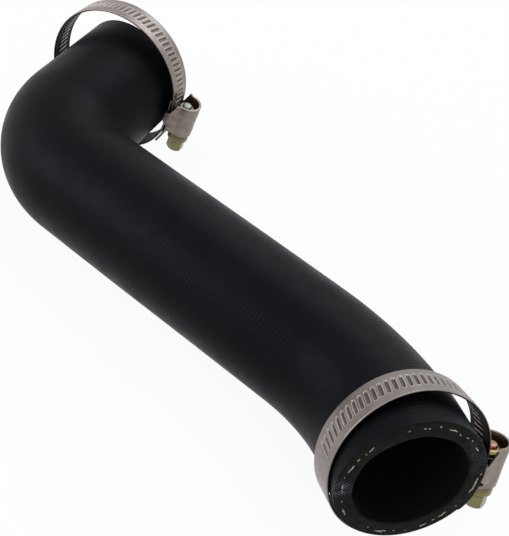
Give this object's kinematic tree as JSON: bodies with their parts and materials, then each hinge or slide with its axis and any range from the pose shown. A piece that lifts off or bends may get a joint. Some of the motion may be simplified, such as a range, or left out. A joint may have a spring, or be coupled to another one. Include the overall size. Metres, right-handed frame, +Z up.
{
  "type": "charge air hose",
  "caption": "Moulded rubber charge air hose with a wide bend and a tight elbow, with a loose worm-drive clamp hung near each mouth.",
  "frame": {"origin": "on the ground under the middle of the bounding box", "axes": "+Z up from the surface that the hose lies on, +X along the longest side of the bounding box, from the far mouth's end towards the near one, +Y from the near mouth's side to the far mouth's side"},
  "size_m": [0.2186, 0.1844, 0.0662],
  "materials": {
    "rubber": "matt black, with fine wrap ribs",
    "band_steel": "bright rolled stainless strip",
    "housing_steel": "rolled stainless sheet, slightly darker",
    "screw_steel": "yellow zinc plating"
  },
  "bodies": {
    "hose": {"hose": "rubber", "near_clamp_band": "band_steel", "near_clamp_housing": "housing_steel", "far_clamp_band": "band_steel", "far_clamp_housing": "housing_steel"},
    "near_screw": {"near_clamp_screw": "screw_steel"},
    "far_screw": {"far_clamp_screw": "screw_steel"}
  },
  "joints": [
    {"name": "near_screw_turn", "type": "hinge", "parent": "hose", "child": "near_screw", "pos_m": [0.10192, -0.05584, 0.0365], "axis": [0.1445, -0.4311, -0.8907], "continuous": true},
    {"name": "far_screw_turn", "type": "hinge", "parent": "hose", "child": "far_screw", "pos_m": [-0.04118, 0.06978, 0.03479], "axis": [-0.1144, -0.0324, -0.9929], "continuous": true}
  ]
}
